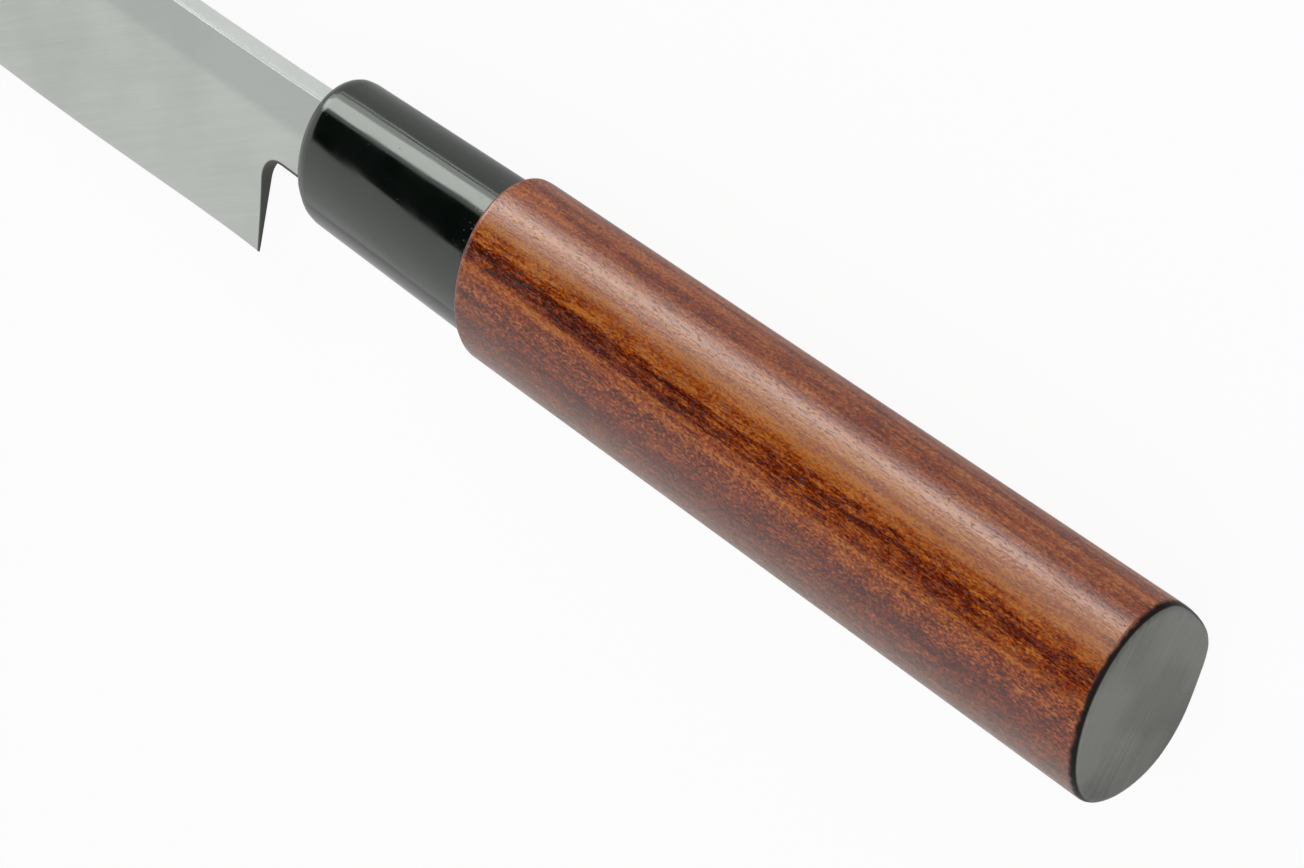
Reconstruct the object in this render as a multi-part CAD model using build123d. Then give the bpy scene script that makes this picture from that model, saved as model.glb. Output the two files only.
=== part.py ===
from build123d import *
import math
import os

# A single-bevel knife for slicing raw fish: a long narrow blade in a chestnut-shaped wooden handle.
#
# Its pieces:
#   blade          steel: the blade, its neck and the tang that is hidden in the handle
#   handle         hardwood: an oval grip with a soft ridge on its right, and a tenon at its front
#   ferrule        black resin collar, pushed over the tenon, with a slot for the tang
#   tang_adhesive  cured resin that fills the handle's bore round the tang
#   mouth_seal     the same resin, wiped flush in the ferrule's slot
#
# Sizes are in millimetres. The knife is modelled with its handle's axis on X, from the ferrule's front
# face at X = 0 to the butt at +X. +Y is the spine's side and +Z looks out of the blade's hollow back.
# It is then moved so that it lies on its bevelled side at Z = 0.

# Blade, seen from the side
BLADE_LENGTH = 240.0  # from the heel's corner to the tip, along the handle's axis
HEEL_HEIGHT = 30.5  # from the spine to the edge at the heel
EDGE_TAPER = 2.4  # what the blade would lose in height by the tip with a straight edge
SPINE_HEIGHT = 6.1  # the straight spine above the handle's axis
SPINE_DROP = 4.5  # how far the spine falls by the tip
TIP_HEIGHT = 0.5
TIP_THICKNESS = 0.5
HEEL_GAP = 13.6  # from the ferrule's front face to the heel's corner
HEEL_LEAN = 0.6  # how far the heel's line leans towards the tip at its top
HEEL_CORNER_RADIUS = 1.2
CHOIL_RADIUS = 4.2  # the round notch between the neck and the heel
NECK_HEIGHT = 13.9

# Blade, cut across
SPINE_THICKNESS = 3.2
SHINOGI_THICKNESS = 2.5  # at the ridge line between the flat side and the wide bevel
BEVEL_WIDTH = 13.0  # from the edge to the ridge line at the heel
MICRO_BEVEL_WIDTH = 0.6  # the last honed strip
MICRO_BEVEL_THICKNESS = 0.26
EDGE_THICKNESS = 0.1
SPINE_CHAMFER = 0.3
BACK_OFFSET = 1.6  # from the handle's middle plane to the flat back
GRIND_MARGIN = 0.2  # what is ground off the back to make it flat

# The hollow that a large stone wheel leaves in the back
WHEEL_RADIUS = 180.0
SPINE_RIM_WIDTH = 7.6  # the flat rim along the spine
EDGE_RIM_WIDTH = 0.8  # the flat rim along the edge
HOLLOW_FADE_LENGTH = 12.0  # the hollow runs out over this length, on the neck
HOLLOW_NECK_GAP = 2.0  # from the hollow's end to the neck's shoulders
HOLLOW_TIP_GAP = 6.0  # from the hollow's other end to the tip

# Tang
SHOULDER_GAP = 0.8  # the neck's shoulders stay this far in front of the ferrule
TANG_REACH = 92.0  # from the ferrule's front face to the tang's end
TANG_ROOT_HEIGHT = 11.4
TANG_END_HEIGHT = 5.6
TANG_ROOT_THICKNESS = 2.4
TANG_END_THICKNESS = 1.8
TANG_INSET = 0.2  # the tang's face lies this far below the blade's back

# Handle
HANDLE_LENGTH = 139.0  # from the ferrule's front face to the butt
BUTT_HEIGHT = 26.7
BUTT_WIDTH = 21.3
FRONT_HEIGHT = 26.2  # the grip's section where it meets the ferrule
FRONT_WIDTH = 20.9
BUTT_ROUND = 1.0
FRONT_ROUND = 1.2

# Ferrule
FERRULE_LENGTH = 34.8
FERRULE_REAR_HEIGHT = 22.9
FERRULE_REAR_WIDTH = 18.3
FERRULE_FRONT_HEIGHT = 21.8
FERRULE_FRONT_WIDTH = 17.4
FERRULE_ROUND = 3.0
FERRULE_WALL = 2.4  # at the ferrule's front, where it is thinnest
FERRULE_FRONT_WALL = 3.6
SLOT_CORNER = 0.5

# Clearances
SLOT_CLEARANCE = 0.5  # round the tang in the ferrule's slot, filled by the seal
BORE_CLEARANCE = 0.9  # round the tang in the handle's bore, filled by the resin
BORE_END_GAP = 4.0
TENON_CLEARANCE = 0.05
TENON_END_GAP = 0.4
OVERRUN = 5.0  # how far a cut runs past what it cuts

# The chestnut section seen from the butt, as shares of half its height and half its width: from the top
# down the smooth left side, round the bottom, and up over the ridge on the right
SECTION_SHARES = [
    (1.0, 0.0), (0.875, 0.535), (0.5, 0.875), (0.0, 0.99), (-0.5, 0.875), (-0.875, 0.525), (-1.0, 0.0),
    (-0.875, -0.52), (-0.5, -0.865), (-0.08, -0.985), (0.27, -1.0), (0.54, -0.8), (0.83, -0.43),
]

ROUND_STEPS = 5  # steps in each rounded end

# Where the blade is drawn across, as shares of its length from the heel
STATION_SHARES = [0.2, 0.36, 0.5, 0.61, 0.71, 0.8, 0.87, 0.93, 0.97, 1.0]
CURVE_START_SHARE = 0.55  # where the edge begins to sweep up
DROP_START_SHARE = 0.75  # where the spine begins to fall
TIP_BEVEL_SHARE = 0.86  # the bevel's share of the blade's height at the tip
HOLLOW_END_SHARE = 0.05  # the share of the hollow's depth that is left where it ends on the neck
SWEEP_POWER = 2.6
DROP_POWER = 2.0
BEVEL_POWER = 2.0
TAPER_POWER = 1.7

HEEL_X = -HEEL_GAP
SHOULDER_X = -SHOULDER_GAP
HEEL_EDGE_Y = SPINE_HEIGHT - HEEL_HEIGHT
NECK_BOTTOM_Y = SPINE_HEIGHT - NECK_HEIGHT
TANG_MID_Y = SPINE_HEIGHT - NECK_HEIGHT / 2
TANG_MID_Z = BACK_OFFSET - TANG_INSET - TANG_ROOT_THICKNESS / 2
SOCKET_HEIGHT = FERRULE_FRONT_HEIGHT - 2 * FERRULE_WALL
SOCKET_WIDTH = FERRULE_FRONT_WIDTH - 2 * FERRULE_WALL
TENON_FRONT_X = FERRULE_FRONT_WALL + TENON_END_GAP


def late_share(share, start_share):
    """How far a place lies past the start of a curve: 0 up to the start, 1 at the tip."""
    return max(0.0, (share - start_share) / (1 - start_share))


def station_x(share):
    return HEEL_X - BLADE_LENGTH * share


def spine_y(share):
    """The spine's height: straight, then a gentle fall to the tip."""
    return SPINE_HEIGHT - SPINE_DROP * late_share(share, DROP_START_SHARE) ** DROP_POWER


def edge_y(share):
    """The edge's height: nearly straight from the heel, then a sweep up to the tip."""
    straight = HEEL_EDGE_Y + EDGE_TAPER * share
    sweep = spine_y(1) - TIP_HEIGHT - HEEL_EDGE_Y - EDGE_TAPER
    return straight + sweep * late_share(share, CURVE_START_SHARE) ** SWEEP_POWER


def tapered(full, tip, share):
    """A thickness that falls slowly at first and faster towards the tip."""
    return full - (full - tip) * max(0.0, share) ** TAPER_POWER


def blade_section(share):
    """The blade cut across: flat back, edge, honed strip, wide bevel, ridge line, flat side and spine."""
    top, bottom = spine_y(share), edge_y(share)
    height = top - bottom
    thin = tapered(SPINE_THICKNESS, TIP_THICKNESS, share) / SPINE_THICKNESS
    heel_bevel_share = BEVEL_WIDTH / HEEL_HEIGHT
    curve = late_share(share, CURVE_START_SHARE) ** BEVEL_POWER
    bevel = height * (heel_bevel_share + (TIP_BEVEL_SHARE - heel_bevel_share) * curve)
    honed = MICRO_BEVEL_WIDTH * bevel / BEVEL_WIDTH
    honed_t = EDGE_THICKNESS + (MICRO_BEVEL_THICKNESS - EDGE_THICKNESS) * thin
    chamfer = SPINE_CHAMFER * thin
    margin = GRIND_MARGIN * thin
    x = station_x(share)
    outline = [
        (top - chamfer - margin, BACK_OFFSET + margin),
        (bottom, BACK_OFFSET + margin),
        (bottom, BACK_OFFSET - EDGE_THICKNESS),
        (bottom + honed, BACK_OFFSET - honed_t),
        (bottom + bevel, BACK_OFFSET - tapered(SHINOGI_THICKNESS, TIP_THICKNESS, share)),
        (top - chamfer, BACK_OFFSET - SPINE_THICKNESS * thin),
        (top, BACK_OFFSET - SPINE_THICKNESS * thin + chamfer),
        (top, BACK_OFFSET - chamfer),
    ]
    return Face(Wire.make_polygon([(x, y, z) for y, z in outline]))


def hollow_section(x, share, depth_share=1.0):
    """The wheel's cut across the back: an arc between the two flat rims, open above the back."""
    height = spine_y(share) - edge_y(share)
    top = spine_y(share) - SPINE_RIM_WIDTH * height / HEEL_HEIGHT
    bottom = edge_y(share) + EDGE_RIM_WIDTH
    depth = (WHEEL_RADIUS - (WHEEL_RADIUS**2 - ((top - bottom) / 2) ** 2) ** 0.5) * depth_share
    start, end = (x, top, BACK_OFFSET), (x, bottom, BACK_OFFSET)
    arc = ThreePointArc(start, (x, (top + bottom) / 2, BACK_OFFSET - depth), end)
    above = Polyline(end, (x, bottom, BACK_OFFSET + OVERRUN), (x, top, BACK_OFFSET + OVERRUN), start)
    return make_face([arc, above])


def plate_section(x, height, thickness):
    """A rectangle across the knife, centred on the tang."""
    y, z = height / 2, thickness / 2
    corners = [(y, z), (-y, z), (-y, -z), (y, -z)]
    return Face(Wire.make_polygon([(x, TANG_MID_Y + dy, TANG_MID_Z + dz) for dy, dz in corners]))


def tang_section(x, clearance=0.0):
    """The tang's section at x, or that of the bore round it."""
    way = (x - SHOULDER_X) / (TANG_REACH - SHOULDER_X)
    height = TANG_ROOT_HEIGHT + (TANG_END_HEIGHT - TANG_ROOT_HEIGHT) * way
    thickness = TANG_ROOT_THICKNESS + (TANG_END_THICKNESS - TANG_ROOT_THICKNESS) * way
    return plate_section(x, height + 2 * clearance, thickness + 2 * clearance)


def chestnut_section(x, height, width):
    """The handle's section: an oval with a soft ridge on its right, drawn smooth and cut at its points."""
    points = [(x, y * height / 2, z * width / 2) for y, z in SECTION_SHARES]
    outline = Spline(*points, periodic=True)
    cuts = [0, *[outline.param_at_point(point) for point in points[1:]], 1]
    return make_face([outline.trim(start, end) for start, end in zip(cuts, cuts[1:])])


def round_over(face_x, outward, height, width, radius):
    """The rounded end of a piece, whose flat end face is at face_x and looks along X, outward 1 or -1."""
    sections = []
    for step in range(ROUND_STEPS + 1):
        angle = math.pi / 2 * step / ROUND_STEPS
        inset = radius * (1 - math.cos(angle))
        x = face_x - outward * radius * (1 - math.sin(angle))
        sections.append(chestnut_section(x, height - 2 * inset, width - 2 * inset))
    return loft(sections, ruled=True)


def make_heel_cut():
    """What is cut away below the neck and behind the heel, with the round notch and the eased corner."""
    notch_x = HEEL_X - HEEL_LEAN
    behind_x = SHOULDER_X + OVERRUN
    below_y = HEEL_EDGE_Y - OVERRUN
    neck_end = (notch_x + CHOIL_RADIUS, NECK_BOTTOM_Y)
    heel_top = (notch_x, NECK_BOTTOM_Y - CHOIL_RADIUS)
    heel_bottom = (HEEL_X, HEEL_EDGE_Y + HEEL_CORNER_RADIUS)
    corner_end = (HEEL_X - HEEL_CORNER_RADIUS, HEEL_EDGE_Y)
    outline = [
        Line((behind_x, NECK_BOTTOM_Y), neck_end),
        TangentArc(neck_end, heel_top, tangent=(-1, 0)),
        Line(heel_top, heel_bottom),
        TangentArc(heel_bottom, corner_end, tangent=(0, -1)),
        Polyline(corner_end, (corner_end[0], below_y), (behind_x, below_y), (behind_x, NECK_BOTTOM_Y)),
    ]
    return extrude(make_face(outline), amount=SPINE_THICKNESS * 2, both=True)


def make_hollow():
    """The wheel's whole cut: along the blade almost to the tip, and running out on the neck."""
    full_x = SHOULDER_X - HOLLOW_NECK_GAP - HOLLOW_FADE_LENGTH
    full_share = (HEEL_X - full_x) / BLADE_LENGTH
    end_share = 1 - HOLLOW_TIP_GAP / BLADE_LENGTH
    between = [share for share in STATION_SHARES if full_share < share < end_share]
    along = loft([hollow_section(station_x(share), share) for share in [full_share, *between, end_share]])
    full_depth = hollow_section(full_x, full_share)
    run_out = hollow_section(full_x + HOLLOW_FADE_LENGTH, full_share, HOLLOW_END_SHARE)
    return along + loft([full_depth, run_out], ruled=True)


def make_blade():
    neck_share = (HEEL_X - SHOULDER_X) / BLADE_LENGTH
    forged = loft([blade_section(share) for share in [neck_share] + STATION_SHARES])
    length = BLADE_LENGTH + HEEL_GAP + 2 * OVERRUN
    ground_off = Box(length, 2 * HEEL_HEIGHT, OVERRUN, align=(Align.MAX, Align.CENTER, Align.MIN))
    forged -= Pos(OVERRUN, 0, BACK_OFFSET) * ground_off
    forged -= make_heel_cut()
    forged -= make_hollow()
    return forged + loft([tang_section(SHOULDER_X), tang_section(TANG_REACH)], ruled=True)


def make_slot(length):
    """The ferrule's slot as a solid that starts at its front face."""
    height = TANG_ROOT_HEIGHT + 2 * SLOT_CLEARANCE
    thickness = TANG_ROOT_THICKNESS + 2 * SLOT_CLEARANCE
    slot = Box(length, height, thickness, align=(Align.MIN, Align.CENTER, Align.CENTER))
    slot = fillet(slot.edges().filter_by(Axis.X), SLOT_CORNER)
    return Pos(0, TANG_MID_Y, TANG_MID_Z) * slot


def make_ferrule():
    front = chestnut_section(FERRULE_ROUND, FERRULE_FRONT_HEIGHT, FERRULE_FRONT_WIDTH)
    rear = chestnut_section(FERRULE_LENGTH, FERRULE_REAR_HEIGHT, FERRULE_REAR_WIDTH)
    collar = loft([front, rear], ruled=True)
    collar += round_over(0, -1, FERRULE_FRONT_HEIGHT, FERRULE_FRONT_WIDTH, FERRULE_ROUND)
    socket = chestnut_section(FERRULE_FRONT_WALL, SOCKET_HEIGHT, SOCKET_WIDTH)
    collar -= extrude(socket, amount=FERRULE_LENGTH, dir=(1, 0, 0))
    return collar - Pos(-OVERRUN, 0, 0) * make_slot(FERRULE_FRONT_WALL + 2 * OVERRUN)


def make_handle():
    front = chestnut_section(FERRULE_LENGTH + FRONT_ROUND, FRONT_HEIGHT, FRONT_WIDTH)
    butt = chestnut_section(HANDLE_LENGTH - BUTT_ROUND, BUTT_HEIGHT, BUTT_WIDTH)
    grip = loft([front, butt], ruled=True)
    grip += round_over(FERRULE_LENGTH, -1, FRONT_HEIGHT, FRONT_WIDTH, FRONT_ROUND)
    grip += round_over(HANDLE_LENGTH, 1, BUTT_HEIGHT, BUTT_WIDTH, BUTT_ROUND)
    tenon_height = SOCKET_HEIGHT - 2 * TENON_CLEARANCE
    tenon_width = SOCKET_WIDTH - 2 * TENON_CLEARANCE
    tenon = chestnut_section(TENON_FRONT_X, tenon_height, tenon_width)
    grip += extrude(tenon, amount=FERRULE_LENGTH - TENON_FRONT_X + OVERRUN, dir=(1, 0, 0))
    bore_front = tang_section(TENON_FRONT_X - OVERRUN, BORE_CLEARANCE)
    return grip - loft([bore_front, tang_section(TANG_REACH + BORE_END_GAP, BORE_CLEARANCE)], ruled=True)


def make_tang_adhesive(blade):
    bore = [tang_section(x, BORE_CLEARANCE) for x in (TENON_FRONT_X, TANG_REACH + BORE_END_GAP)]
    return loft(bore, ruled=True) - blade


pieces = {"blade": make_blade(), "handle": make_handle(), "ferrule": make_ferrule()}
pieces["tang_adhesive"] = make_tang_adhesive(pieces["blade"])
pieces["mouth_seal"] = make_slot(FERRULE_FRONT_WALL) - pieces["blade"]

# The knife lies on its bevelled side, with the origin under the middle of its outline
bounds = Compound(list(pieces.values())).bounding_box()
middle = bounds.center()
to_origin = Pos(-middle.X, -middle.Y, -bounds.min.Z)

os.makedirs("parts", exist_ok=True)
for name, piece in pieces.items():
    placed = to_origin * piece
    export_step(placed, f"parts/{name}.step")
    size = placed.bounding_box().size
    print(f"{name}: {size.X:.2f} x {size.Y:.2f} x {size.Z:.2f} mm, {placed.volume:.0f} mm3")
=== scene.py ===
# %% [markdown]
# # A long slicing knife, lit for its portrait
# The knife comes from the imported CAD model: a steel blade, a wooden handle, a black collar and the cured
# resin that holds them together. Its shapes are finished, so this lesson is about everything else that
# makes a picture: the camera, the light, the floor it lies on, and above all its surfaces.
# Everything is in metres, in the CAD model's own frame: +X runs along the handle to its end, +Y is the
# side of the blade's spine, and +Z points up out of the blade's hollow back.

# %% Load the frame
import math

import bpy
from mathutils import Euler, Matrix, Vector


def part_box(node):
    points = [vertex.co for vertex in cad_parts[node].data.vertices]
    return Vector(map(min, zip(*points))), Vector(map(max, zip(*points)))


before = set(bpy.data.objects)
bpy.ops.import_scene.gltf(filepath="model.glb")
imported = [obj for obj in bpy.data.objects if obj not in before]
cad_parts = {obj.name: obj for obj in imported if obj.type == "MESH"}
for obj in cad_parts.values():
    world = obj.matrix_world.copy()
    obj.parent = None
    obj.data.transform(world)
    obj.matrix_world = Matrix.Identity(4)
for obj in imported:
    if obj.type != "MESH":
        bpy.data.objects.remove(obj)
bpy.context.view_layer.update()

MM = 0.001

blade_low, blade_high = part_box("blade")
handle_low, handle_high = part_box("handle")
ferrule_low, ferrule_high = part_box("ferrule")
grip_middle = Vector((0.0, (handle_low.y + handle_high.y) / 2, (handle_low.z + handle_high.z) / 2))
print(f"the handle's middle is at {grip_middle.y / MM:.2f}, {grip_middle.z / MM:.2f} mm")

# %% [markdown]
# ## The camera
# The picture is taken from close by with a long lens, and the camera is turned on its side: the handle
# comes towards us at the lower right and the blade leaves the frame at the upper left. A camera like this
# is easiest to describe as a photographer would, by where it stands, what it looks at and how far it is
# rolled. to_track_quat aims it with its top up, and a turn about its own view axis adds the roll.

# %% Place the camera
CAMERA_PLACE = Vector((351.84, 230.61, 262.73)) * MM
CAMERA_TARGET = Vector((128.05, 4.43, 20.32)) * MM  # a point on top of the grip
CAMERA_ROLL = math.radians(113.53)
LENS = 93.87
SENSOR_WIDTH = 36.0

camera_data = bpy.data.cameras.new("camera")
camera_data.sensor_width = SENSOR_WIDTH
camera_data.lens = LENS
camera = bpy.data.objects.new("camera", camera_data)
bpy.context.collection.objects.link(camera)
aim = (CAMERA_TARGET - CAMERA_PLACE).to_track_quat("-Z", "Y").to_matrix().to_4x4()
camera.matrix_world = Matrix.Translation(CAMERA_PLACE) @ aim @ Matrix.Rotation(-CAMERA_ROLL, 4, "Z")
bpy.context.scene.camera = camera
print(f"the camera stands {(CAMERA_PLACE - CAMERA_TARGET).length / MM:.0f} mm away with a {LENS} mm lens")

# %% [markdown]
# ## The floor
# A knife laid down by itself is not level. It lies on the grip and on the blade, and its weight rolls it
# towards the edge. The CAD model must not move, so the floor leans instead. Its lean to the spine's side
# is given, and its fall along the knife is found as with a straightedge held under it: the slope is halved
# again and again until handle and blade touch it together.

# %% Find the plane that the knife lies on
FLOOR_LEAN = math.radians(8.5)  # how far the floor falls away on the spine's side
STEEPEST_FALL = math.radians(6.0)
HALVINGS = 30


def floor_normal(fall):
    """The direction straight up from a floor that falls by an angle towards the butt."""
    return Vector((math.tan(fall), math.tan(FLOOR_LEAN), 1.0)).normalized()


def reach_down(node, normal):
    """How low a CAD node reaches against a direction."""
    return min(normal.dot(vertex.co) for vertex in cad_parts[node].data.vertices)


low, high = 0.0, STEEPEST_FALL
for _ in range(HALVINGS):
    fall = (low + high) / 2
    blade_is_clear = reach_down("blade", floor_normal(fall)) > reach_down("handle", floor_normal(fall))
    low, high = (fall, high) if blade_is_clear else (low, fall)
normal = floor_normal(low)
print(f"the floor falls {math.degrees(low):.2f} degrees towards the butt")

# %% Lay the floor
FLOOR_SIZE = 6.0

bpy.ops.object.select_all(action="DESELECT")
bpy.ops.mesh.primitive_plane_add(size=FLOOR_SIZE)
floor = bpy.context.active_object
floor.name = "floor"
floor.rotation_mode = "QUATERNION"
floor.rotation_quaternion = Vector((0.0, 0.0, 1.0)).rotation_difference(normal)
floor.location = normal * reach_down("handle", normal)

# %% [markdown]
# The floor is white paper. What the camera sees of it, directly or mirrored in the knife, is mostly a plain
# white glow, and the rest is true paper that takes the knife's shadow. Light Path tells a material which
# kind of ray asks. Making the lamps stronger would also give a white floor, but it would bleach the knife.

# %% Small helpers for building materials
def feed(tree, target, source):
    """Sets an input to a number or a colour, or links another node's output to it."""
    if isinstance(source, bpy.types.NodeSocket):
        tree.links.new(source, target)
    else:
        target.default_value = source


def reckon(tree, operation, *values):
    """A Math node's result."""
    node = tree.nodes.new("ShaderNodeMath")
    node.operation = operation
    for target, source in zip(node.inputs, values):
        feed(tree, target, source)
    return node.outputs["Value"]


def seen_in_picture(tree, seen=1.0, mirrored=1.0):
    """One value for rays from the camera, one for those that a shiny or clear surface sends on, or 0."""
    path = tree.nodes.new("ShaderNodeLightPath")
    sent_on = reckon(tree, "MAXIMUM", path.outputs["Is Glossy Ray"], path.outputs["Is Transmission Ray"])
    sent_on = reckon(tree, "MULTIPLY", sent_on, mirrored)
    return reckon(tree, "MULTIPLY_ADD", path.outputs["Is Camera Ray"], seen, sent_on)


# %% Give the floor its paper
PAPER_COLOUR = (0.78, 0.78, 0.78, 1.0)
GLOW_SEEN = 0.94  # the share of glow that the camera sees
GLOW_MIRRORED = 0.2  # and the share in reflections, which keep more of the knife's own shadow

paper = bpy.data.materials.new("white_paper")
paper.use_nodes = True
tree = paper.node_tree
tree.nodes.clear()
paper_face = tree.nodes.new("ShaderNodeBsdfDiffuse")
paper_face.inputs["Color"].default_value = PAPER_COLOUR
paper_glow = tree.nodes.new("ShaderNodeEmission")
blend = tree.nodes.new("ShaderNodeMixShader")
feed(tree, blend.inputs["Fac"], seen_in_picture(tree, GLOW_SEEN, GLOW_MIRRORED))
feed(tree, blend.inputs[1], paper_face.outputs["BSDF"])
feed(tree, blend.inputs[2], paper_glow.outputs["Emission"])
feed(tree, tree.nodes.new("ShaderNodeOutputMaterial").inputs["Surface"], blend.outputs["Shader"])
floor.data.materials.append(paper)
print(f"the paper glows {GLOW_SEEN:.0%} for the camera and {GLOW_MIRRORED:.0%} in reflections")

# %% [markdown]
# ## The light
# Glossy black resin shows the room like a mirror, so the lamps are placed by what it has to reflect. A
# softbox with a brighter core stands low on the spine's side and draws the crisp highlight along the
# collar and the grip. A large dim one opposite lights the lower side, and two more fill in from above and
# from the butt. Those three are hidden from reflections, where the white room already shows. Area lamps
# are used because their size sets how soft they light.

# %% Place the softboxes
bpy.context.scene.view_settings.view_transform = "Standard"

LIT_POINT = Vector((70.0, 5.0, 11.0)) * MM
LAMP_DISTANCE = 0.9


def add_softbox(name, direction, size, radiance, mirrored):
    """A rectangular lamp that faces the knife. Its power follows from how bright its face looks."""
    lamp_data = bpy.data.lights.new(name, "AREA")
    lamp_data.shape = "RECTANGLE"
    lamp_data.size, lamp_data.size_y = size
    lamp_data.energy = radiance * math.pi * size[0] * size[1]
    lamp = bpy.data.objects.new(name, lamp_data)
    bpy.context.collection.objects.link(lamp)
    lamp.location = LIT_POINT + Vector(direction).normalized() * LAMP_DISTANCE
    lamp.rotation_mode = "QUATERNION"
    lamp.rotation_quaternion = (LIT_POINT - lamp.location).to_track_quat("-Z", "Y")
    lamp.visible_camera = False
    lamp.visible_glossy = mirrored
    print(f"{name}: {lamp_data.energy:.1f} W at {tuple(round(part, 2) for part in lamp.location)} m")


add_softbox("key", direction=(-0.60, 0.74, 0.20), size=(0.90, 0.56), radiance=1.9, mirrored=True)
add_softbox("key_core", direction=(-0.60, 0.74, 0.34), size=(0.90, 0.32), radiance=3.3, mirrored=True)
add_softbox("side_fill", direction=(-0.55, -0.60, 0.50), size=(1.10, 1.10), radiance=0.85, mirrored=False)
add_softbox("overhead", direction=(0.35, 0.05, 0.90), size=(0.80, 0.80), radiance=2.2, mirrored=False)
add_softbox("butt_fill", direction=(0.80, -0.45, 0.35), size=(0.60, 0.60), radiance=1.5, mirrored=False)

# %% [markdown]
# The room is white wherever the camera or a mirror looks, and dim for everything else, so that it doesn't
# wash out the lamps. Black resin in a white room looks grey, so a photographer hangs black cards beside the
# softbox. Their reflection is the deep black next to the highlight.

# %% The room
ROOM_FILL = 0.10  # how bright the room is for matt surfaces

room = bpy.data.worlds.new("white_room")
bpy.context.scene.world = room
room.use_nodes = True
tree = room.node_tree
brightness = tree.nodes.new("ShaderNodeMapRange")
brightness.inputs["To Min"].default_value = ROOM_FILL
feed(tree, brightness.inputs["Value"], seen_in_picture(tree))
feed(tree, tree.nodes["Background"].inputs["Color"], (1.0, 1.0, 1.0, 1.0))
feed(tree, tree.nodes["Background"].inputs["Strength"], brightness.outputs["Result"])

# %% Hang the black cards
black_cloth = bpy.data.materials.new("black_cloth")
black_cloth.use_nodes = True
cloth = black_cloth.node_tree.nodes["Principled BSDF"]
cloth.inputs["Base Color"].default_value = (0.0, 0.0, 0.0, 1.0)
cloth.inputs["Specular IOR Level"].default_value = 0.0


def hang_card(name, start, end, width):
    """A black strip between two points that are given from the lit point, turned to face the knife."""
    start, end = Vector(start), Vector(end)
    length_way = (end - start).normalized()
    width_way = (start + end).cross(length_way).normalized()
    bpy.ops.object.select_all(action="DESELECT")
    bpy.ops.mesh.primitive_plane_add(size=1.0)
    card = bpy.context.active_object
    card.name = name
    card.scale = ((end - start).length, width, 1.0)
    card.location = LIT_POINT + (start + end) / 2
    card.rotation_mode = "QUATERNION"
    ways = (length_way, width_way, length_way.cross(width_way))
    card.rotation_quaternion = Matrix(ways).transposed().to_quaternion()
    card.visible_camera = False
    card.data.materials.append(black_cloth)
    print(f"{name}: {(end - start).length:.2f} by {width:.2f} m")


hang_card("card_above_key", start=(-0.85, 0.65, 0.73), end=(-0.23, -0.28, 0.99), width=0.60)
hang_card("card_below_key", start=(-0.82, 0.355, -0.02), end=(-0.175, 0.87, -0.02), width=0.03)

# %% [markdown]
# ## Patterns that several finishes share
# Wood grain, grinding lines and saw marks are all one thing: noise drawn out in one direction. Pores and
# dust are noise of which only the peaks are kept, and handling leaves broad soft patches. Each is built
# once as a node group with named inputs, and every material places it with its own values. All of them
# work in millimetres, which keeps the numbers readable.

# %% A helper for groups
def new_group(name, inputs, outputs):
    """An empty shader node group with the given sockets. Returns it and its inner ends."""
    group = bpy.data.node_groups.new(name, "ShaderNodeTree")
    for label, kind, value in inputs:
        socket = group.interface.new_socket(label, in_out="INPUT", socket_type=kind)
        if value is not None:
            socket.default_value = value
    for label, kind in outputs:
        group.interface.new_socket(label, in_out="OUTPUT", socket_type=kind)
    return group, group.nodes.new("NodeGroupInput").outputs, group.nodes.new("NodeGroupOutput").inputs


def noise(tree, place, scale, detail):
    """Noise from 0 to 1, mostly near a half, whose lumps are about one unit wide at scale 1."""
    node = tree.nodes.new("ShaderNodeTexNoise")
    for label, source in (("Vector", place), ("Scale", scale), ("Detail", detail)):
        feed(tree, node.inputs[label], source)
    return node.outputs["Fac"]


def ramp(tree, value, start, end, low=0.0, high=1.0, smooth=True):
    """Maps start..end to low..high and holds there."""
    node = tree.nodes.new("ShaderNodeMapRange")
    node.interpolation_type = "SMOOTHSTEP" if smooth else "LINEAR"
    labels = ("Value", "From Min", "From Max", "To Min", "To Max")
    for label, source in zip(labels, (value, start, end, low, high)):
        feed(tree, node.inputs[label], source)
    return node.outputs["Result"]


# %% Streaks: noise drawn out along X
VECTOR, FLOAT = "NodeSocketVector", "NodeSocketFloat"
NOISE_MIDDLE = 0.5

streaks, given, made = new_group(
    "drawn_out_streaks",
    [("Place", VECTOR, None), ("Length", FLOAT, 10.0), ("Width", FLOAT, 1.0), ("Detail", FLOAT, 2.0),
     ("Contrast", FLOAT, 1.5)],
    [("Streak", FLOAT)],
)
squeezed = streaks.nodes.new("ShaderNodeCombineXYZ")
parts = streaks.nodes.new("ShaderNodeSeparateXYZ")
feed(streaks, parts.inputs["Vector"], given["Place"])
for axis, extent in (("X", "Length"), ("Y", "Width"), ("Z", "Width")):
    feed(streaks, squeezed.inputs[axis], reckon(streaks, "DIVIDE", parts.outputs[axis], given[extent]))
drawn = noise(streaks, squeezed.outputs["Vector"], 1.0, given["Detail"])
centred = reckon(streaks, "SUBTRACT", drawn, NOISE_MIDDLE)
lifted = reckon(streaks, "MULTIPLY_ADD", centred, given["Contrast"], NOISE_MIDDLE)
feed(streaks, made["Streak"], ramp(streaks, lifted, 0.0, 1.0, smooth=False))

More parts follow.
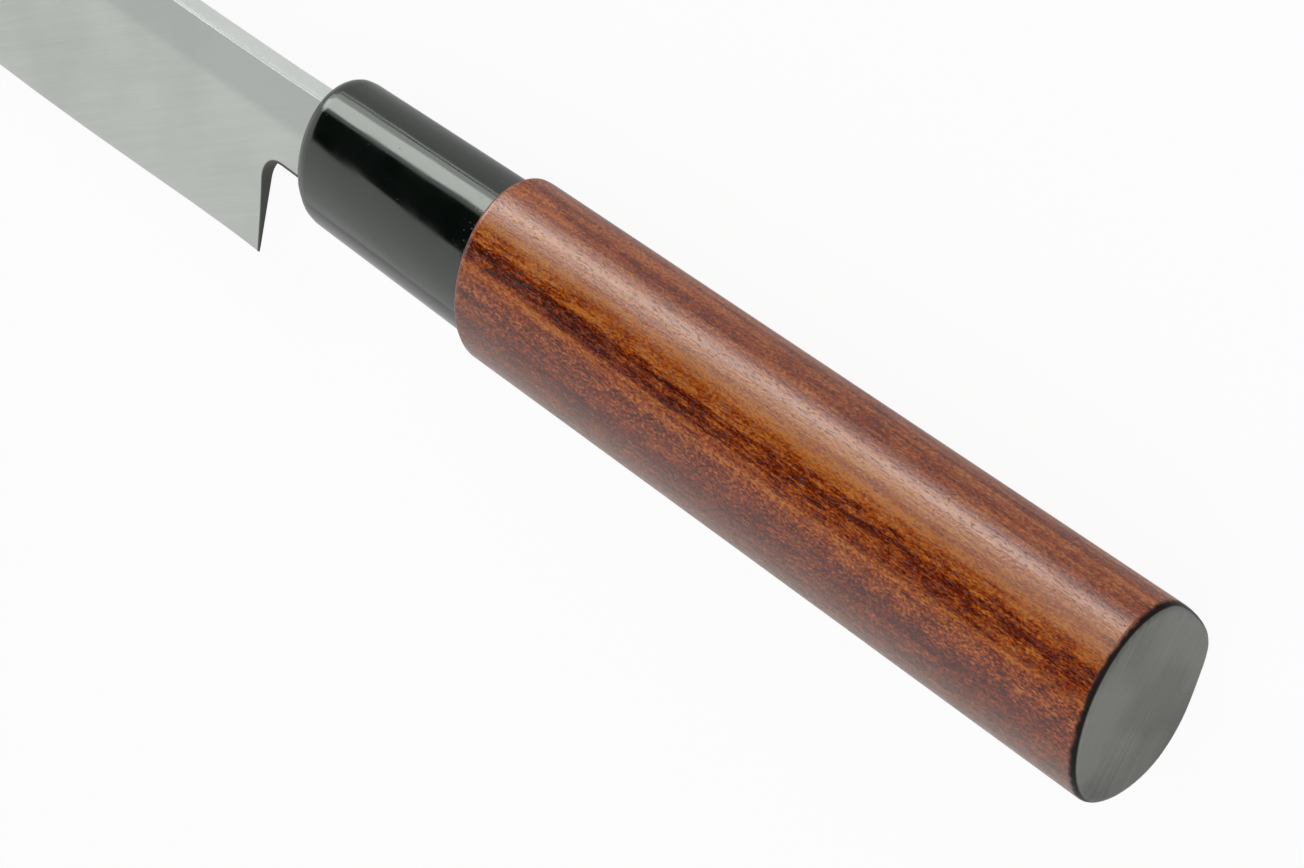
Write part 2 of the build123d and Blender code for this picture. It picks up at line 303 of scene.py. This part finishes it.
# %% Specks: only the peaks of a noise
specks, given, made = new_group(
    "specks",
    [("Place", VECTOR, None), ("Length", FLOAT, 1.0), ("Width", FLOAT, 1.0), ("From", FLOAT, 0.6),
     ("To", FLOAT, 0.7)],
    [("Speck", FLOAT)],
)
drawn = specks.nodes.new("ShaderNodeGroup")
drawn.node_tree = streaks
drawn.inputs["Contrast"].default_value = 1.0
drawn.inputs["Detail"].default_value = 1.0
for label in ("Place", "Length", "Width"):
    feed(specks, drawn.inputs[label], given[label])
feed(specks, made["Speck"], ramp(specks, drawn.outputs["Streak"], given["From"], given["To"]))

# %% Handling: broad soft patches, between two values
NOISE_SPAN = (0.35, 0.65)  # the noise seldom leaves it
PATCH_DETAIL = 3.0

handling, given, made = new_group(
    "handling",
    [("Place", VECTOR, None), ("Size", FLOAT, 8.0), ("Polished", FLOAT, 0.2), ("Dull", FLOAT, 0.3)],
    [("Value", FLOAT)],
)
broad = noise(handling, given["Place"], reckon(handling, "DIVIDE", 1.0, given["Size"]), PATCH_DETAIL)
feed(handling, made["Value"], ramp(handling, broad, *NOISE_SPAN, given["Polished"], given["Dull"]))
print("groups:", [group.name for group in bpy.data.node_groups])

# %% [markdown]
# ## How each finish is put together
# Every finish is one Principled shader. Its colour, roughness and bump come from patterns that are placed
# in the model's own space, so they run through the piece as grain runs through wood and don't slide when
# the camera moves. A pattern that has to run another way gets turned coordinates.

# %% Helpers for finishes
ROUNDING_SAMPLES = 8


def new_finish(name, **plain_values):
    """A material whose Principled shader is set with plain values. Returns it, its tree and the shader."""
    finish = bpy.data.materials.new(name)
    finish.use_nodes = True
    shader = finish.node_tree.nodes["Principled BSDF"]
    for label, value in plain_values.items():
        shader.inputs[label.replace("_", " ")].default_value = value
    return finish, finish.node_tree, shader


def place_in_mm(tree, middle=Vector((0.0, 0.0, 0.0)), turn=(0.0, 0.0, 0.0)):
    """The piece's own coordinates in millimetres from a middle, turned by the given degrees."""
    turned = Euler([math.radians(angle) for angle in turn])
    mapping = tree.nodes.new("ShaderNodeMapping")
    mapping.inputs["Scale"].default_value = (1 / MM, 1 / MM, 1 / MM)
    mapping.inputs["Rotation"].default_value = turned
    mapping.inputs["Location"].default_value = -(turned.to_matrix() @ middle) / MM
    feed(tree, mapping.inputs["Vector"], tree.nodes.new("ShaderNodeTexCoord").outputs["Object"])
    return mapping.outputs["Vector"]


def pattern(tree, group, place, **values):
    """Places a shared pattern with its own values."""
    node = tree.nodes.new("ShaderNodeGroup")
    node.node_tree = group
    feed(tree, node.inputs["Place"], place)
    for label, source in values.items():
        feed(tree, node.inputs[label], source)
    return node.outputs[0]


def axes(tree, place):
    """The three parts of a place."""
    node = tree.nodes.new("ShaderNodeSeparateXYZ")
    feed(tree, node.inputs["Vector"], place)
    return node.outputs["X"], node.outputs["Y"], node.outputs["Z"]


def blend_colours(tree, share, first, second):
    """The first colour where share is 0 and the second where it is 1."""
    node = tree.nodes.new("ShaderNodeMix")
    node.data_type = "RGBA"
    inputs = [socket for socket in node.inputs if socket.type == "RGBA"]
    feed(tree, node.inputs[0], share)
    feed(tree, inputs[0], first)
    feed(tree, inputs[1], second)
    return next(socket for socket in node.outputs if socket.type == "RGBA")


def blend_values(tree, share, first, second):
    """The first value where share is 0 and the second where it is 1."""
    return ramp(tree, share, 0.0, 1.0, first, second, smooth=False)


def colour_scale(tree, value, stops):
    """Turns a value into a colour by a scale of (place, colour) stops."""
    node = tree.nodes.new("ShaderNodeValToRGB")
    elements = node.color_ramp.elements
    while len(elements) < len(stops):
        elements.new(0.5)
    for element, (place, colour) in zip(elements, stops):
        element.position = place
        element.color = (*colour, 1.0)
    feed(tree, node.inputs["Fac"], value)
    return node.outputs["Color"]


def raise_surface(tree, shader, height, depth, rounding=None):
    """Bumps the surface by a height from 0 to 1 that stands for a depth in metres, and rounds its edges."""
    node = tree.nodes.new("ShaderNodeBump")
    if rounding:
        softener = tree.nodes.new("ShaderNodeBevel")
        softener.samples = ROUNDING_SAMPLES
        softener.inputs["Radius"].default_value = rounding
        feed(tree, node.inputs["Normal"], softener.outputs["Normal"])
    node.inputs["Distance"].default_value = depth
    feed(tree, node.inputs["Height"], height)
    feed(tree, shader.inputs["Normal"], node.outputs["Normal"])


def weighted(tree, *pairs):
    """A sum of values, each times its weight."""
    total = 0.0
    for value, weight in pairs:
        total = reckon(tree, "MULTIPLY_ADD", value, weight, total)
    return total


def dress(node, finish):
    """Gives every slot of a CAD node one finish."""
    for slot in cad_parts[node].material_slots:
        slot.material = finish


# %% [markdown]
# ## The grip: red-brown wood under satin varnish
# The grain is solid: long streaks, shorter dashes and fine dark pores all run with the handle. They add up
# to one tone, and a colour scale turns it into anything from blackened brown to light orange. One dark
# growth layer runs the whole length of the grip, so it is drawn by height and broken up by the streaks.
# Above it the grain is streaky, and below it, where the cut meets the fibres at a slant, it is mottled.
# A picture of wood wrapped round the grip would show a seam and smear at the ends. Solid noise has neither.

# %% The patterns in the wood
wood, tree, shader = new_finish("stained_wood", IOR=1.54)
place = place_in_mm(tree, grip_middle)
along, height, _ = axes(tree, place)
drift = pattern(tree, streaks, place, Length=70.0, Width=16.0, Detail=1.0, Contrast=1.0)
long_streaks = pattern(tree, streaks, place, Length=34.0, Width=1.0, Detail=3.0, Contrast=3.0)
short_streaks = pattern(tree, streaks, place, Length=6.0, Width=0.40, Detail=2.0, Contrast=2.8)
dashes = pattern(tree, streaks, place, Length=0.55, Width=0.18, Detail=2.0, Contrast=3.4)
blotches = pattern(tree, streaks, place, Length=3.0, Width=0.9, Detail=4.0, Contrast=3.0)
mottle = pattern(tree, streaks, place, Length=0.50, Width=0.24, Detail=4.0, Contrast=2.8)
print("the wood's patterns take", len(tree.nodes), "nodes")

# %% Where the grain changes
# Heights above the handle's middle in millimetres, from where a change begins to where it is complete
MOTTLED_ZONE = (5.0, 1.5)
EDGE_ZONE = (3.0, -3.0)
LOW_ZONE = (-2.0, -8.0)
SPINE_ZONE = (6.0, 9.5)
TOP_ZONE = (8.5, 10.5)
OVER_SPINE_ZONE = (11.5, 13.0)

below_layer = ramp(tree, height, *MOTTLED_ZONE)
towards_edge = ramp(tree, height, *EDGE_ZONE)
low_side = ramp(tree, height, *LOW_ZONE)
towards_spine = ramp(tree, height, *SPINE_ZONE)
top_side = ramp(tree, height, *TOP_ZONE)
over_spine = ramp(tree, height, *OVER_SPINE_ZONE)

# %% The growth layers
DARK_LAYER_HEIGHT = 6.9  # above the handle's middle, in millimetres
LIGHT_LAYER_HEIGHT = 3.9
DRIFT = 3.0  # how far the layers wander up and down

wandering = reckon(tree, "MULTIPLY_ADD", reckon(tree, "SUBTRACT", drift, NOISE_MIDDLE), DRIFT, height)


def growth_layer(layer_height, raggedness, core, reach):
    """1 within a core round a layer's height and 0 beyond its reach. Patterns make its edge ragged."""
    away = reckon(tree, "ABSOLUTE", reckon(tree, "SUBTRACT", wandering, layer_height))
    return ramp(tree, weighted(tree, (away, 1.0), *raggedness), core, reach, 1.0, 0.0)


torn = [(blotches, 1.8), (short_streaks, 1.0), (dashes, 0.6)]
frayed = [(short_streaks, 0.6)]
dark_layer = growth_layer(DARK_LAYER_HEIGHT, torn, core=1.3, reach=3.8)
light_layer = growth_layer(LIGHT_LAYER_HEIGHT, frayed, core=0.4, reach=1.1)
print(f"a dark layer {DARK_LAYER_HEIGHT} mm and a light one {LIGHT_LAYER_HEIGHT} mm above the middle")

# %% The grain's tone
MOTTLED_SHIFT = -0.16  # without it the mottled half would be lighter than the streaky one
EVEN_TONE = 0.55  # what the grain fades to where it is evened; on top this is partly painted highlight

streaky = weighted(
    tree, (long_streaks, 0.28), (short_streaks, 0.15), (dashes, 0.25), (mottle, 0.24), (blotches, 0.14)
)
mottled = weighted(
    tree, (long_streaks, 0.14), (short_streaks, 0.12), (dashes, 0.20), (mottle, 0.62), (blotches, 0.24),
    (1.0, MOTTLED_SHIFT),
)
grain = blend_values(tree, below_layer, streaky, mottled)
# Along the top the grain is evened, partly as calmer grain and partly as painted highlight.
evened_share = weighted(tree, (towards_edge, 0.24), (towards_spine, 0.30), (over_spine, -0.30))
evened_grain = blend_values(tree, evened_share, grain, EVEN_TONE)
layered = weighted(tree, (dark_layer, -0.22), (light_layer, 0.17), (evened_grain, 1.0))
# The tone is lifted along the top, partly lighter grain and partly painted highlight; darker towards the
# lower edge.
tone = weighted(tree, (layered, 1.0), (towards_spine, 0.15), (over_spine, -0.14), (towards_edge, -0.15))

# %% The grain's colours and pores
WOOD_STOPS = [
    (0.18, (0.040, 0.004, 0.000)),
    (0.34, (0.105, 0.010, 0.000)),
    (0.48, (0.216, 0.030, 0.001)),
    (0.62, (0.318, 0.066, 0.004)),
    (0.80, (0.452, 0.150, 0.027)),
]
PORE_COLOUR = (0.040, 0.007, 0.003, 1.0)
PORE_STRENGTH = 0.75
FLECK_STRENGTH = 0.5

pores = pattern(tree, specks, place, Length=0.9, Width=0.18, From=0.60, To=0.70)
flecks = pattern(tree, specks, place, Length=1.3, Width=0.42, From=0.54, To=0.70)
fleck_strength = weighted(tree, (1.0, FLECK_STRENGTH), (towards_spine, -0.4), (towards_edge, 0.10))
flecked = reckon(tree, "MULTIPLY", flecks, fleck_strength)
pitted = reckon(tree, "MAXIMUM", reckon(tree, "MULTIPLY", pores, PORE_STRENGTH), flecked)
pitted_colour = blend_colours(tree, pitted, colour_scale(tree, tone, WOOD_STOPS), PORE_COLOUR)

# %% Painted sheen: pale colour on top, where the highlight lies, and low on the side, where reflections show
PAINTED_SHEEN_COLOUR = (0.50, 0.44, 0.33, 1.0)

# Painted highlight along the top and painted reflection low on the side, as a pale colour in the wood
painted_sheen = weighted(tree, (top_side, 0.13), (over_spine, -0.13), (low_side, 0.10))
wood_colour = blend_colours(tree, painted_sheen, pitted_colour, PAINTED_SHEEN_COLOUR)
print("with its colours the wood has", len(tree.nodes), "nodes")

# %% [markdown]
# ## The grip's blackened end
# The end grain is stained black, and the stain has crept a millimetre round the edge. It is a finish and no
# cap, so masks along the handle are enough. The end face is matt, and its saw marks are the same streaks in
# turned coordinates. The rim has to be blacker than wood can look in a white room, because anything that
# isn't metal mirrors a few per cent of it. Some Metallic over a black colour takes that reflection away.

# %% How far the stain reaches, and the painted shade against the collar
END_X = handle_high.x / MM
FRONT_X = ferrule_high.x / MM
RIM_START = 1.0  # from the end, in millimetres, like the others
RIM_FADE = 0.6
FACE_START = 0.30
FACE_FULL = 0.12
FRONT_START = 1.0  # from the collar, where painted shade darkens the gap against it
FRONT_FULL = 0.2
FRONT_STRENGTH = 0.7

ragged = weighted(tree, (along, 1.0), (long_streaks, 0.3))
back_rim = ramp(tree, ragged, END_X - RIM_START, END_X - RIM_START + RIM_FADE)
collar_gap_shade = ramp(tree, along, FRONT_X + FRONT_START, FRONT_X + FRONT_FULL, 0.0, FRONT_STRENGTH)
# The stained rim at the end, and painted shade in the gap against the collar
rim = reckon(tree, "MAXIMUM", back_rim, collar_gap_shade)
end_face = ramp(tree, along, END_X - FACE_START, END_X - FACE_FULL)

# %% The end grain
END_COLOUR = (0.200, 0.206, 0.183, 1.0)
RIM_COLOUR = (0.006, 0.004, 0.003, 1.0)
SAW_LEAN = 24.0  # degrees
END_TONES = (-0.8, 0.9)  # the tones that are black and fully END_COLOUR
SHADED_END_ZONE = (0.0, -12.0)  # the heights between which painted shade darkens the end's lower part

sideways = place_in_mm(tree, grip_middle, turn=(SAW_LEAN, 0.0, 90.0))
saw_marks = pattern(tree, streaks, sideways, Length=22.0, Width=0.24, Detail=3.0, Contrast=1.8)
end_pores = pattern(tree, specks, sideways, Length=0.25, Width=0.14, From=0.68, To=0.76)
end_clouds = pattern(tree, handling, sideways, Size=12.0, Polished=0.0, Dull=1.0)
# Painted shade: the end face darkens towards its lower part
painted_shade_low_on_end = ramp(tree, height, *SHADED_END_ZONE)
end_tone = weighted(tree, (saw_marks, 0.5), (end_clouds, 0.4), (end_pores, -0.6), (painted_shade_low_on_end, -0.36))
end_colour = blend_colours(tree, ramp(tree, end_tone, *END_TONES), RIM_COLOUR, END_COLOUR)
rimmed = blend_colours(tree, rim, wood_colour, RIM_COLOUR)
feed(tree, shader.inputs["Base Color"], blend_colours(tree, end_face, rimmed, end_colour))

# %% The varnish
STAIN_ROUGHNESS = 0.42
RIM_METALLIC = 0.8
GRAIN_RELIEF = 0.027 * MM

gloss = pattern(tree, handling, place, Size=9.0, Polished=0.18, Dull=0.25)
varnish = weighted(tree, (gloss, 1.0), (pitted, 0.15), (dashes, 0.05))
feed(tree, shader.inputs["Roughness"], blend_values(tree, rim, varnish, STAIN_ROUGHNESS))
black_rim = reckon(tree, "SUBTRACT", rim, end_face)
feed(tree, shader.inputs["Metallic"], blend_values(tree, black_rim, 0.0, RIM_METALLIC))
ripple = pattern(tree, streaks, place, Length=0.35, Width=1.3, Detail=1.0, Contrast=2.0)
wood_relief = weighted(tree, (short_streaks, 0.25), (dashes, 0.25), (ripple, 0.20), (pitted, -0.7))
end_relief = weighted(tree, (saw_marks, 0.8), (end_pores, -1.0))
relief = blend_values(tree, rim, wood_relief, reckon(tree, "MULTIPLY", end_face, end_relief))
raise_surface(tree, shader, relief, GRAIN_RELIEF)
dress("handle", wood)
print("the finished wood has", len(tree.nodes), "nodes")

# %% [markdown]
# ## The collar: polished black resin
# It is almost black with a breath of green, and nearly all that shows is its gloss. Hand polishing leaves
# the surface a little wavy, which bends the edges of the reflections, and a few specks where it meets the
# wood. A flat mirror finish would look like plastic film.

# %% The collar's resin
RESIN_GLOSS = (0.93, 1.0, 0.92, 1.0)  # tints the reflections
RESIN_DARK = (0.0020, 0.0034, 0.0026, 1.0)
RESIN_LIGHT = (0.0034, 0.0050, 0.0040, 1.0)

resin, tree, shader = new_finish("black_resin", IOR=1.65, Specular_Tint=RESIN_GLOSS)
place = place_in_mm(tree, grip_middle)
along, _, _ = axes(tree, place)
tint = pattern(tree, handling, place, Size=5.0, Polished=0.0, Dull=1.0)
resin_colour = blend_colours(tree, tint, RESIN_DARK, RESIN_LIGHT)

# %% Its dust
DUST_COLOUR = (0.05, 0.045, 0.04, 1.0)
DUST_FROM, DUST_TO = 0.80, 0.82  # the peaks of the noise that are specks
DUSTY_START = 5.0  # in millimetres from the wood
DUSTY_FULL = 1.0
EXTRA_DUST = 0.16

near_wood = ramp(tree, along, FRONT_X - DUSTY_START, FRONT_X - DUSTY_FULL, 0.0, EXTRA_DUST)
dust_from = reckon(tree, "SUBTRACT", DUST_FROM, near_wood)
dust = pattern(tree, specks, place, Length=0.5, Width=0.35, From=dust_from, To=DUST_TO)
feed(tree, shader.inputs["Base Color"], blend_colours(tree, dust, resin_colour, DUST_COLOUR))

# %% Its polish
WAVE_HEIGHT = 0.08 * MM
MOUTH_SOFTNESS = 0.8 * MM  # smooths the mouth's facets, which sharp reflections would show

polish = pattern(tree, handling, place, Size=6.0, Polished=0.07, Dull=0.12)
feed(tree, shader.inputs["Roughness"], weighted(tree, (polish, 1.0), (dust, 0.3)))
waves = pattern(tree, streaks, place, Length=12.0, Width=4.5, Detail=1.0, Contrast=1.0)
hairlines = pattern(tree, streaks, place, Length=9.0, Width=0.12, Detail=1.0, Contrast=2.0)
resin_relief = weighted(tree, (waves, 1.0), (hairlines, 0.004), (dust, -0.2))
raise_surface(tree, shader, resin_relief, WAVE_HEIGHT, rounding=MOUTH_SOFTNESS)
dress("ferrule", resin)
print("the resin has", len(tree.nodes), "nodes")

# %% [markdown]
# ## The blade: finely ground steel
# Steel is a mirror broken up by grinding lines. On the back they run at a slant across the blade, as they
# come off the wheel and the stone. The lines spread the reflections, so the steel reads as a soft grey.
# A shader can spread them in one direction by itself, but from this close the lines show, so they are
# drawn in colour and in relief. Three places differ, and masks find them by their distance from the
# blade's own edges: the flat rim along the spine, painted darker than the hollow as painted shade, the
# spine's polished face with a darker break beside it, and the notch behind the heel, drawn dark and rough.

# %% The ground steel
STEEL_LIGHT = (0.560, 0.590, 0.555, 1.0)
STEEL_DARK = (0.410, 0.432, 0.405, 1.0)
GRINDING_TURN = -30.0  # degrees

steel, tree, shader = new_finish("ground_steel", Metallic=1.0)
place = place_in_mm(tree)
along, height, depth = axes(tree, place)
slanted = place_in_mm(tree, turn=(0.0, 0.0, GRINDING_TURN))
lines = pattern(tree, streaks, slanted, Length=16.0, Width=0.12, Detail=2.0, Contrast=2.5)
bands = pattern(tree, streaks, slanted, Length=30.0, Width=0.8, Detail=2.0, Contrast=1.8)
smudge = pattern(tree, handling, place, Size=20.0, Polished=0.0, Dull=1.0)
shade = weighted(tree, (lines, 0.25), (bands, 0.28), (smudge, 0.40))
ground_colour = blend_colours(tree, shade, STEEL_DARK, STEEL_LIGHT)

# %% The rim along the spine, painted darker than the hollow as painted shade
SHADED_RIM_LIGHT = (0.470, 0.495, 0.475, 1.0)
SHADED_RIM_DARK = (0.385, 0.405, 0.385, 1.0)
RIM_WIDTH = 7.6  # in millimetres, like all the blade's sizes
RIM_BLUR = 1.1
SPINE_DROP = 4.5  # how far the spine falls towards the tip
DROP_LENGTH = 60.0
SPINE_Y = blade_high.y / MM
TIP_X = blade_low.x / MM

late = ramp(tree, along, TIP_X + DROP_LENGTH, TIP_X, smooth=False)
raised = reckon(tree, "MULTIPLY_ADD", reckon(tree, "POWER", late, 2.0), SPINE_DROP, height)
below_spine = reckon(tree, "SUBTRACT", SPINE_Y, raised)
on_rim = ramp(tree, below_spine, RIM_WIDTH + RIM_BLUR, RIM_WIDTH - RIM_BLUR)
# Painted shade: the flat rim takes darker colours than the ground hollow
shaded_rim_colour = blend_colours(tree, shade, SHADED_RIM_DARK, SHADED_RIM_LIGHT)
back_colour = blend_colours(tree, on_rim, ground_colour, shaded_rim_colour)

# %% The spine's face
EDGE_STEEL = (0.210, 0.216, 0.210, 1.0)  # the narrow break beside the face, drawn darker than the face
POLISHED_STEEL = (0.710, 0.745, 0.715, 1.0)
SPINE_BREAK = 0.3
BREAK_BLUR = 0.03
SPINE_ZONE_Y = (0.80, 0.70)  # below the spine
SPINE_ZONE_Z = (0.01, 0.04)  # below the back
BACK_Z = blade_high.z / MM

below_back = reckon(tree, "SUBTRACT", BACK_Z, depth)
near_spine = ramp(tree, below_spine, *SPINE_ZONE_Y)
on_spine = reckon(tree, "MINIMUM", near_spine, ramp(tree, below_back, *SPINE_ZONE_Z))
on_face = ramp(tree, below_back, SPINE_BREAK - BREAK_BLUR, SPINE_BREAK + BREAK_BLUR)
spine_colour = blend_colours(tree, on_face, EDGE_STEEL, POLISHED_STEEL)
steel_colour = blend_colours(tree, on_spine, back_colour, spine_colour)

# %% The notch behind the heel
NOTCH_DARK_COLOUR = (0.10, 0.10, 0.095, 1.0)
DARKENING_START = 0.50  # beyond the notch's round
DARKENING_FULL = 0.25
NECK_HEIGHT = 13.9
NOTCH_RADIUS = 4.2
HEEL_GAP = 13.6  # from the collar to the heel
HEEL_LEAN = 0.6
NECK_Y = SPINE_Y - NECK_HEIGHT
HEEL_X = ferrule_low.x / MM - HEEL_GAP

lean = ramp(tree, height, blade_low.y / MM, NECK_Y, 0.0, HEEL_LEAN, smooth=False)
ahead = reckon(tree, "SUBTRACT", HEEL_X + NOTCH_RADIUS, reckon(tree, "ADD", along, lean))
ahead = reckon(tree, "MAXIMUM", ahead, 0.0)
above = reckon(tree, "MAXIMUM", reckon(tree, "SUBTRACT", height, NECK_Y - NOTCH_RADIUS), 0.0)
squares = reckon(tree, "MULTIPLY_ADD", ahead, ahead, reckon(tree, "MULTIPLY", above, above))
from_middle = reckon(tree, "SQRT", squares)
behind_heel = ramp(tree, from_middle, NOTCH_RADIUS + DARKENING_START, NOTCH_RADIUS + DARKENING_FULL)
feed(tree, shader.inputs["Base Color"], blend_colours(tree, behind_heel, steel_colour, NOTCH_DARK_COLOUR))

# %% The steel's sheen
STEEL_ROUGHNESS = 0.30
LINE_DEPTH = 0.002 * MM

sheen = weighted(
    tree, (1.0, STEEL_ROUGHNESS), (lines, 0.05), (bands, 0.05), (smudge, 0.05), (behind_heel, 0.15)
)
feed(tree, shader.inputs["Roughness"], sheen)
raise_surface(tree, shader, lines, LINE_DEPTH)
dress("blade", steel)
print("the steel has", len(tree.nodes), "nodes")

# %% [markdown]
# ## The cured resin round the tang
# Only a sliver of it can be seen, in the collar's mouth: dark, matt and wiped flush by hand. A coloured
# ring on the collar could stand for it, but it is a piece of its own in the real knife and in the CAD
# model, so it gets a finish of its own, with uneven dullness and a fine grit.

# %% The cured resin
CURED_DARK = (0.02, 0.02, 0.018, 1.0)
CURED_LIGHT = (0.04, 0.04, 0.036, 1.0)
CURED_ROUGHNESS = (0.5, 0.7)
GRIT_HEIGHT = 0.02 * MM

cured, tree, shader = new_finish("cured_resin")
place = place_in_mm(tree)
wiped = pattern(tree, handling, place, Size=1.5, Polished=0.0, Dull=1.0)
feed(tree, shader.inputs["Base Color"], blend_colours(tree, wiped, CURED_DARK, CURED_LIGHT))
feed(tree, shader.inputs["Roughness"], ramp(tree, wiped, 0.0, 1.0, *CURED_ROUGHNESS))
grit = pattern(tree, specks, place, Length=0.4, Width=0.4, From=0.55, To=0.75)
raise_surface(tree, shader, grit, GRIT_HEIGHT)
dress("tang_adhesive", cured)
dress("mouth_seal", cured)
print("the cured resin has", len(tree.nodes), "nodes")
